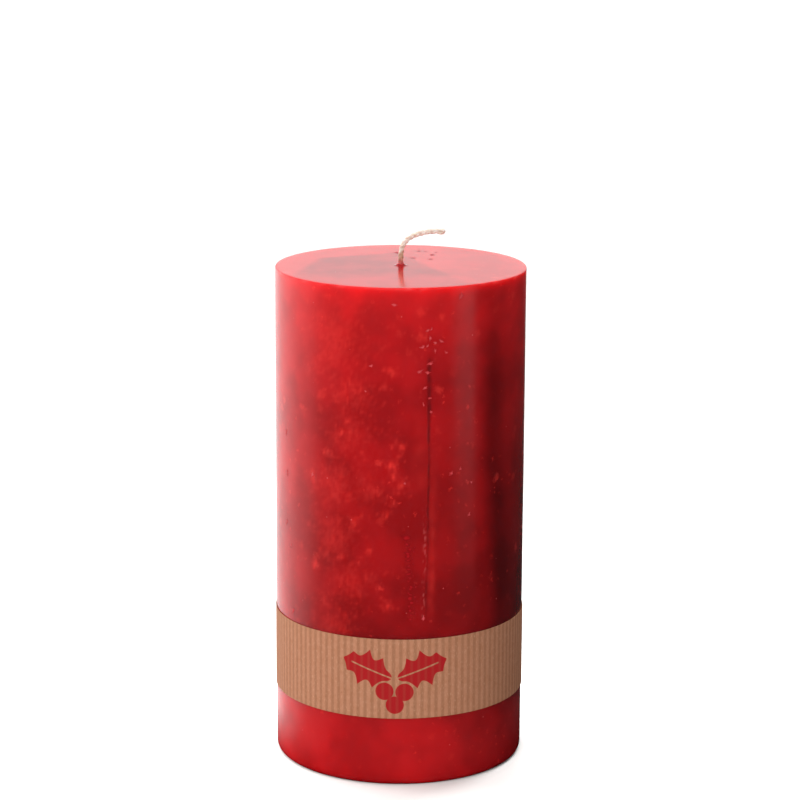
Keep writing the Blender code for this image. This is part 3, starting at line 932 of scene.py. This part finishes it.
def makeStrip(b):
    inner = pillarRadius + b["innerGap"]
    turn = 2 * math.pi + b["lap"] / inner
    columns = round(turn * inner / b["ribPitch"] * b["perRib"])
    length = turn * inner
    height = bandHigh.z - bandLow.z
    startFresh()
    # a flat strip of paper, eight cells for each rib, that is then rolled up round Z
    bpy.ops.mesh.primitive_grid_add(x_subdivisions=columns, y_subdivisions=b["rows"], size=1)
    strip = bpy.context.object
    strip.name = "kraftBand"
    bpy.ops.transform.resize(value=(length, height, 1))
    bpy.ops.object.transform_apply(location=True, rotation=True, scale=True)
    points = readPoints(strip)
    run = points[:, 0] + length / 2                        # along the strip, from its inner end
    up = points[:, 1]
    ribs = b["ribHeight"] * np.cos(2 * np.pi * run / b["ribPitch"])
    share = rampUp(run, 2 * math.pi * inner - b["lapRise"], 2 * math.pi * inner)
    radius = inner + b["lapStep"] * share + ribs + b["paper"] / 2
    edge = np.clip(np.abs(up) / (height / 2), 0, 1) ** 8 * np.sign(up)
    wander = np.array([noise.noise((r / (40 * mm), s, 0)) for r, s in zip(run, np.sign(up))])
    angle = math.pi / 2 - b["lap"] / inner / 2 + run / inner
    rise = (bandLow.z + bandHigh.z) / 2 + up + edge * b["cutWander"] * wander
    writePoints(strip, np.stack([radius * np.cos(angle), radius * np.sin(angle), rise], axis=1))
    wall = strip.modifiers.new("paper", "SOLIDIFY")
    wall.thickness = b["paper"]
    wall.offset = 0
    bpy.ops.object.modifier_apply(modifier="paper")
    bpy.ops.object.mode_set(mode="EDIT")
    bpy.ops.mesh.select_all(action="SELECT")
    bpy.ops.mesh.normals_make_consistent(inside=False)
    bpy.ops.object.mode_set(mode="OBJECT")
    shadeSmooth(strip, 50)
    return strip


def printMask(tree, around, height, b):
    # a holly sprig, two leaves and three berries, 1 where there is ink; all in mm
    middle = b["printMiddle"]
    flat = addNode(tree, "ShaderNodeCombineXYZ", {"X": around, "Y": height})
    flat = addNode(tree, "ShaderNodeVectorMath", {0: flat, 1: (*middle, 0)}, operation="SUBTRACT")
    ink = 0.0
    for turn in (b["leafTurn"], 180 - b["leafTurn"]):
        leaf = addNode(tree, "ShaderNodeMapping", {
            "Vector": flat, "Rotation": (0, 0, -math.radians(turn)), "Scale": (1 / b["leafLength"],) * 3,
            "Location": (-b["leafStart"] / b["leafLength"], 0, 0),
        }, vector_type="POINT")
        leaf = addNode(tree, "ShaderNodeSeparateXYZ", {0: leaf}).node.outputs
        along = addNode(tree, "ShaderNodeMapRange", {"Value": leaf["X"]})      # held between 0 and 1
        # an almond outline, scooped out between its spines
        phase = addNode(tree, "ShaderNodeMath", {0: along, 1: math.pi}, operation="MULTIPLY")
        almond = addNode(tree, "ShaderNodeMath", {0: phase}, operation="SINE")
        almond = addNode(tree, "ShaderNodeMath", {0: almond, 1: 0.0}, operation="MAXIMUM")
        almond = addNode(tree, "ShaderNodeMath", {0: almond, 1: 0.75}, operation="POWER")
        scoops = addNode(tree, "ShaderNodeMath", {0: phase, 1: 3.5}, operation="MULTIPLY")
        scoops = addNode(tree, "ShaderNodeMath", {0: scoops}, operation="SINE")
        scoops = addNode(tree, "ShaderNodeMath", {0: scoops}, operation="ABSOLUTE")
        scoops = addNode(tree, "ShaderNodeMath", {0: scoops, 1: -0.42, 2: 1.0}, operation="MULTIPLY_ADD")
        half = addNode(tree, "ShaderNodeMath", {0: almond, 1: scoops}, operation="MULTIPLY")
        half = addNode(tree, "ShaderNodeMath", {
            0: half, 1: b["leafWidth"] / 2 / b["leafLength"],
        }, operation="MULTIPLY")
        off = addNode(tree, "ShaderNodeMath", {0: leaf["Y"]}, operation="ABSOLUTE")
        inside = addNode(tree, "ShaderNodeMath", {0: half, 1: off}, operation="SUBTRACT")
        inside = addNode(tree, "ShaderNodeMapRange", {"Value": inside, "From Min": 0.0, "From Max": 0.006})
        rib = addNode(tree, "ShaderNodeMapRange", {"Value": off, "From Min": 0.010, "From Max": 0.018})
        pastRib = addNode(tree, "ShaderNodeMapRange", {"Value": along, "From Min": 0.80, "From Max": 0.84})
        rib = addNode(tree, "ShaderNodeMath", {0: rib, 1: pastRib}, operation="MAXIMUM")
        inside = addNode(tree, "ShaderNodeMath", {0: inside, 1: rib}, operation="MULTIPLY")
        ink = addNode(tree, "ShaderNodeMath", {0: ink, 1: inside}, operation="MAXIMUM")
    for berry in b["berries"]:
        far = addNode(tree, "ShaderNodeVectorMath", {0: flat, 1: (*berry, 0)}, operation="DISTANCE")
        far = addNode(tree, "ShaderNodeMapRange", {
            "Value": far, "From Min": b["berryRadius"] + 0.08, "From Max": b["berryRadius"] - 0.08,
        })
        ink = addNode(tree, "ShaderNodeMath", {0: ink, 1: far}, operation="MAXIMUM")
    return ink


def makeKraftMaterial(b):
    # ribbed kraft paper: brown pulp with darker and paler fibres, matt, striped where the ribs took the
    # rolling, with a one-colour print of a holly sprig
    material, tree, shader = newMaterial("ribbedKraft")
    place = addNode(tree, "ShaderNodeTexCoord").node.outputs["Object"]
    inMm = addNode(tree, "ShaderNodeVectorMath", {"Vector": place, "Scale": 1000}, operation="SCALE")
    axes = addNode(tree, "ShaderNodeSeparateXYZ", {0: inMm}).node.outputs
    front = addNode(tree, "ShaderNodeMath", {0: axes["Y"], 1: -1.0}, operation="MULTIPLY")
    outer = (pillarRadius + b["innerGap"] + b["paper"]) / mm
    around = addNode(tree, "ShaderNodeMath", {0: axes["X"], 1: front}, operation="ARCTAN2")
    around = addNode(tree, "ShaderNodeMath", {0: around, 1: outer}, operation="MULTIPLY")
    perMm = 2 * math.pi / (b["ribPitch"] / mm)
    wave = addNode(tree, "ShaderNodeMath", {0: around, 1: perMm}, operation="MULTIPLY")
    wave = addNode(tree, "ShaderNodeMath", {0: wave}, operation="SINE")
    tall = addNode(tree, "ShaderNodeMath", {0: axes["Z"], 1: 0.3}, operation="MULTIPLY")
    sheet = addNode(tree, "ShaderNodeCombineXYZ", {"X": around, "Y": tall})
    pulp = addNode(tree, "ShaderNodeTexNoise", {
        "Vector": inMm, "Scale": 0.3, "Detail": 4.0, "Roughness": 0.7,
    })
    fibre = addNode(tree, "ShaderNodeTexNoise", {"Vector": sheet, "Scale": 2.4, "Detail": 3.0})
    color = addNode(tree, "ShaderNodeMix", {
        "Factor": pulp, "A": hexColor("#ad7a60"), "B": hexColor("#986244"),
    }, data_type="RGBA")
    stripe = addNode(tree, "ShaderNodeMapRange", {
        "Value": wave, "From Min": -0.7, "From Max": 0.9, "To Min": 0.0, "To Max": 0.42,
    }, interpolation_type="SMOOTHSTEP")
    color = addNode(tree, "ShaderNodeMix", {
        "Factor": stripe, "A": color, "B": hexColor("#6c4428"),
    }, data_type="RGBA")
    speck = addNode(tree, "ShaderNodeMapRange", {
        "Value": fibre, "From Min": 0.58, "From Max": 0.72, "To Min": 0.0, "To Max": 0.35,
    })
    color = addNode(tree, "ShaderNodeMix", {
        "Factor": speck, "A": color, "B": hexColor("#c79a7c"),
    }, data_type="RGBA")
    dark = addNode(tree, "ShaderNodeMapRange", {
        "Value": fibre, "From Min": 0.40, "From Max": 0.28, "To Min": 0.0, "To Max": 0.35,
    })
    color = addNode(tree, "ShaderNodeMix", {
        "Factor": dark, "A": color, "B": hexColor("#5d3a22"),
    }, data_type="RGBA")

    # the ink is solid, a little thin on the crowns of the ribs, and on the outer face only
    thin = addNode(tree, "ShaderNodeMapRange", {
        "Value": wave, "From Min": -1.0, "From Max": 0.2, "To Min": 0.93, "To Max": 1.0,
    })
    ink = addNode(tree, "ShaderNodeMath", {
        0: printMask(tree, around, axes["Z"], b), 1: thin,
    }, operation="MULTIPLY")
    level = addNode(tree, "ShaderNodeCombineXYZ", {"X": axes["X"], "Y": axes["Y"]})
    radius = addNode(tree, "ShaderNodeVectorMath", {0: level}, operation="LENGTH").node.outputs["Value"]
    midSheet = (pillarRadius + b["innerGap"] + b["paper"] / 2) / mm
    outside = addNode(tree, "ShaderNodeMapRange", {
        "Value": radius, "From Min": midSheet - 0.03, "From Max": midSheet + 0.03,
    })
    ink = addNode(tree, "ShaderNodeMath", {0: ink, 1: outside}, operation="MULTIPLY")
    color = addNode(tree, "ShaderNodeMix", {
        "Factor": ink, "A": color, "B": hexColor("#94090f"),
    }, data_type="RGBA")
    tree.links.new(color, shader.inputs["Base Color"])
    shader.inputs["Roughness"].default_value = 0.8
    shader.inputs["IOR"].default_value = 1.5
    shader.inputs["Specular IOR Level"].default_value = 0.3
    bump = addNode(tree, "ShaderNodeBump", {"Height": fibre, "Distance": 0.00005, "Strength": 0.6})
    tree.links.new(bump, shader.inputs["Normal"])
    return material


def makeGlueMaterial():
    # dried paper glue: clear, faintly yellow, thicker in soft blots
    material, tree, shader = newMaterial("driedGlue")
    place = addNode(tree, "ShaderNodeTexCoord").node.outputs["Object"]
    blots = addNode(tree, "ShaderNodeTexNoise", {"Vector": place, "Scale": 400.0, "Detail": 2.0})
    color = addNode(tree, "ShaderNodeMix", {
        "Factor": blots, "A": hexColor("#e6dcc0"), "B": hexColor("#cdbd93"),
    }, data_type="RGBA")
    tree.links.new(color, shader.inputs["Base Color"])
    shader.inputs["Roughness"].default_value = 0.35
    shader.inputs["IOR"].default_value = 1.48
    return material


print("band")
kraftBand = makeStrip(band)
dress(kraftBand, makeKraftMaterial(band))
dress(frame["nodes"]["band_seal"], makeGlueMaterial())
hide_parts("paper_band")
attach(kraftBand, "band")


studio = {
    "floorSize": 40.0,            # metres
    "horizonLight": 0.95,         # the room's wall, all round
    "darkerRight": 0.5,           # the share of it that is left on the right
    "ceilingLight": 0.32,
    # each lamp's name, place, the height it is aimed at, size and power
    "lamps": (
        ("keyLight", (-0.12, -0.72, 0.56), 0.12, 0.55, 5.4),
        ("windowLight", (-0.72, 0.16, 0.34), 0.12, 0.6, 3.7),
        ("rimLight", (0.20, 0.17, 0.29), 0.18, 0.12, 0.8),
    ),
    "sunStrength": 3.0,
    "sunTurn": (-24, -12, 0),     # degrees, from a little behind on the left
    "sunSoftness": 50,            # degrees
    # what the table sends back to the candle: strength by direction, in degrees from the front and + towards
    # +X, then the distances in metres between which it grows
    "tableGloss": (
        (((-180, 0.9), (-164, 1.2), (-120, 1.3), (-96, 1.0), (-70, 0.30), (-45, 0.10), (48, 0.09), (84, 0.04),
          (156, 0.03), (180, 0.9)), 0.05, 0.085),
        (((44, 0), (56, 0.5), (67, 0.65), (71, 0)), 0.25, 0.8),
    ),
    "tableBounce": (
        (((-180, 1.2), (-60, 1.15), (42, 1.2), (57, 0.12), (140, 0.1), (180, 1.2)), 0.049, 0.065),
    ),
}


def makeFloor(s):
    startFresh()
    bpy.ops.mesh.primitive_plane_add(size=s["floorSize"])
    floor = bpy.context.object
    floor.name = "studioFloor"
    material, tree, shader = newMaterial("paleTable")
    shader.inputs["Base Color"].default_value = hexColor("#f6f5f3")
    shader.inputs["Roughness"].default_value = 0.95
    shader.inputs["Specular IOR Level"].default_value = 0.1
    dress(floor, material)
    floor.visible_diffuse = False
    floor.visible_glossy = False


def makeTableLight(name, layers, drop, forGloss):
    # just under the floor and never seen itself: what the candle gets back from the table, in its gloss
    # or as bounced light, so that one side can be kept dark as a black card beside the candle would
    startFresh()
    bpy.ops.mesh.primitive_plane_add(size=6, location=(0, 0, -drop))
    sheet = bpy.context.object
    sheet.name = name
    material, tree, shader = newMaterial(name)
    place = addNode(tree, "ShaderNodeTexCoord").node.outputs["Object"]
    axes = addNode(tree, "ShaderNodeSeparateXYZ", {0: place}).node.outputs
    front = addNode(tree, "ShaderNodeMath", {0: axes["Y"], 1: -1.0}, operation="MULTIPLY")
    turn = addNode(tree, "ShaderNodeMath", {0: axes["X"], 1: front}, operation="ARCTAN2")
    turn = addNode(tree, "ShaderNodeMapRange", {"Value": turn, "From Min": -math.pi, "From Max": math.pi})
    away = addNode(tree, "ShaderNodeVectorMath", {0: place}, operation="LENGTH").node.outputs["Value"]
    total = 0.0
    for stops, near, far in layers:
        ramp = addNode(tree, "ShaderNodeValToRGB", {0: turn})
        ramp.node.color_ramp.interpolation = "EASE"
        greys = [((degrees + 180) / 360, (*(strength / 2,) * 3, 1)) for degrees, strength in stops]
        fillStops(ramp.node.color_ramp, greys)
        reach = addNode(tree, "ShaderNodeMapRange", {
            "Value": away, "From Min": near, "From Max": far, "To Min": 0.0, "To Max": 2.0,
        })
        total = addNode(tree, "ShaderNodeMath", {0: ramp, 1: reach, 2: total}, operation="MULTIPLY_ADD")
    glow = addNode(tree, "ShaderNodeEmission", {"Strength": total})
    tree.links.new(glow, tree.nodes["Material Output"].inputs["Surface"])
    material.cycles.emission_sampling = "NONE"
    dress(sheet, material)
    sheet.visible_camera = False
    sheet.visible_shadow = False
    sheet.visible_transmission = False
    sheet.visible_volume_scatter = False
    sheet.visible_diffuse = not forGloss
    sheet.visible_glossy = forGloss


def makeRoom(s):
    # pale walls round the candle, darker on the right, and a dimmer ceiling
    world = bpy.data.worlds.new("studioRoom")
    world.use_nodes = True
    tree = world.node_tree
    way = addNode(tree, "ShaderNodeTexCoord")
    axes = addNode(tree, "ShaderNodeSeparateXYZ", {0: way}).node.outputs
    strength = addNode(tree, "ShaderNodeMapRange", {
        "Value": axes["Z"], "From Min": 0.22, "From Max": 0.6,
        "To Min": s["horizonLight"], "To Max": s["ceilingLight"],
    }, interpolation_type="SMOOTHSTEP")
    right = addNode(tree, "ShaderNodeMapRange", {
        "Value": axes["X"], "From Min": 0.2, "From Max": 0.75, "To Min": 1.0, "To Max": s["darkerRight"],
    }, interpolation_type="SMOOTHSTEP")
    strength = addNode(tree, "ShaderNodeMath", {0: strength, 1: right}, operation="MULTIPLY")
    background = tree.nodes["Background"]
    background.inputs["Color"].default_value = (1, 1, 1, 1)
    tree.links.new(strength, background.inputs["Strength"])
    bpy.context.scene.world = world


def makeLight(name, kind, energy, place, turn):
    light = bpy.data.lights.new(name, kind)
    light.energy = energy
    obj = bpy.data.objects.new(name, light)
    obj.location = place
    obj.rotation_euler = turn
    obj.visible_camera = False
    obj.visible_glossy = False
    bpy.context.scene.collection.objects.link(obj)
    return light


print("studio")
makeFloor(studio)
makeTableLight("tableGloss", studio["tableGloss"], 1 * mm, True)
makeTableLight("tableBounce", studio["tableBounce"], 2 * mm, False)
makeRoom(studio)
bpy.context.scene.view_settings.view_transform = "Standard"
for name, place, aimed, size, power in studio["lamps"]:
    aim = Vector((0, 0, aimed)) - Vector(place)
    makeLight(name, "AREA", power, place, aim.to_track_quat("-Z", "Y").to_euler()).size = size
sunTurn = [math.radians(t) for t in studio["sunTurn"]]
sun = makeLight("skyLight", "SUN", studio["sunStrength"], (0, 0, 2), sunTurn)
sun.angle = math.radians(studio["sunSoftness"])
